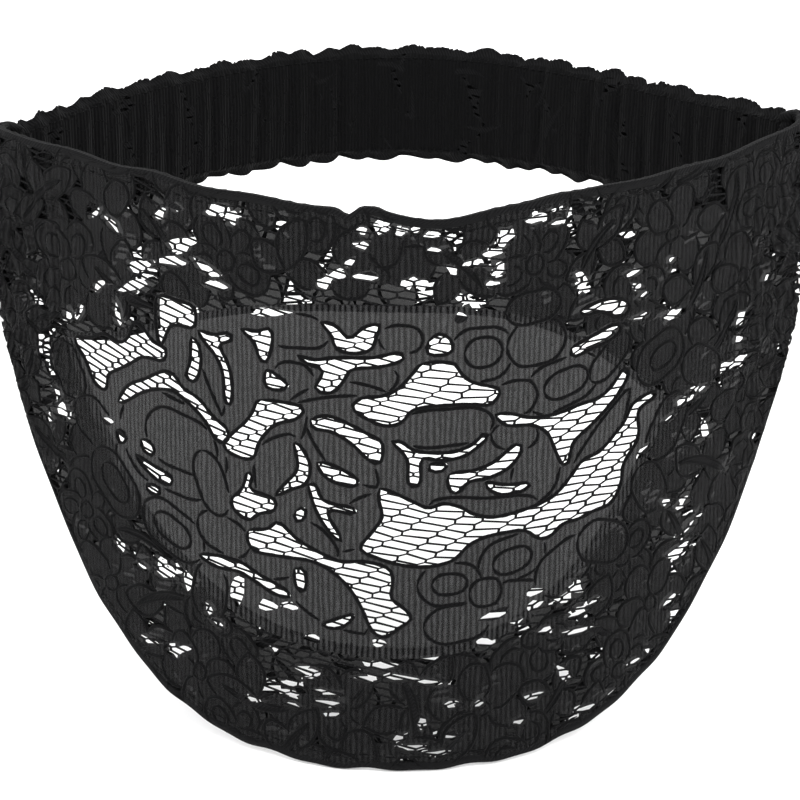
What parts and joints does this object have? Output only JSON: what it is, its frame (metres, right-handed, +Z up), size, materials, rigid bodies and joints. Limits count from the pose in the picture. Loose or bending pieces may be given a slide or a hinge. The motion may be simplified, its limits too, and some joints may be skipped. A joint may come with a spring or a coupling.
{
  "type": "lace head wrap",
  "caption": "Wide black lace head wrap: a pierced floral front panel with facings, gathered into a narrow elastic back band.",
  "frame": {"origin": "middle of the oval rim, level with the panel's top edge, where the wrap sits round the head", "axes": "+Z up, the front panel faces -Y, the elastic back band is at +Y, +X is the loop's width"},
  "size_m": [0.1934, 0.1369, 0.1367],
  "materials": {
    "panel_lace": "black floral lace, soft, matt with a faint sheen on the raised outlines",
    "facing_lace": "the same black lace, a second layer behind the panel",
    "gathered_lace": "black lace gathered into close upright folds",
    "elastic_weave": "plain black woven elastic, matt"
  },
  "bodies": {
    "root": {"front_panel": "panel_lace", "rim_facing": "facing_lace", "hem_facing": "facing_lace", "back_casing": "gathered_lace", "back_elastic": "elastic_weave"}
  },
  "joints": []
}
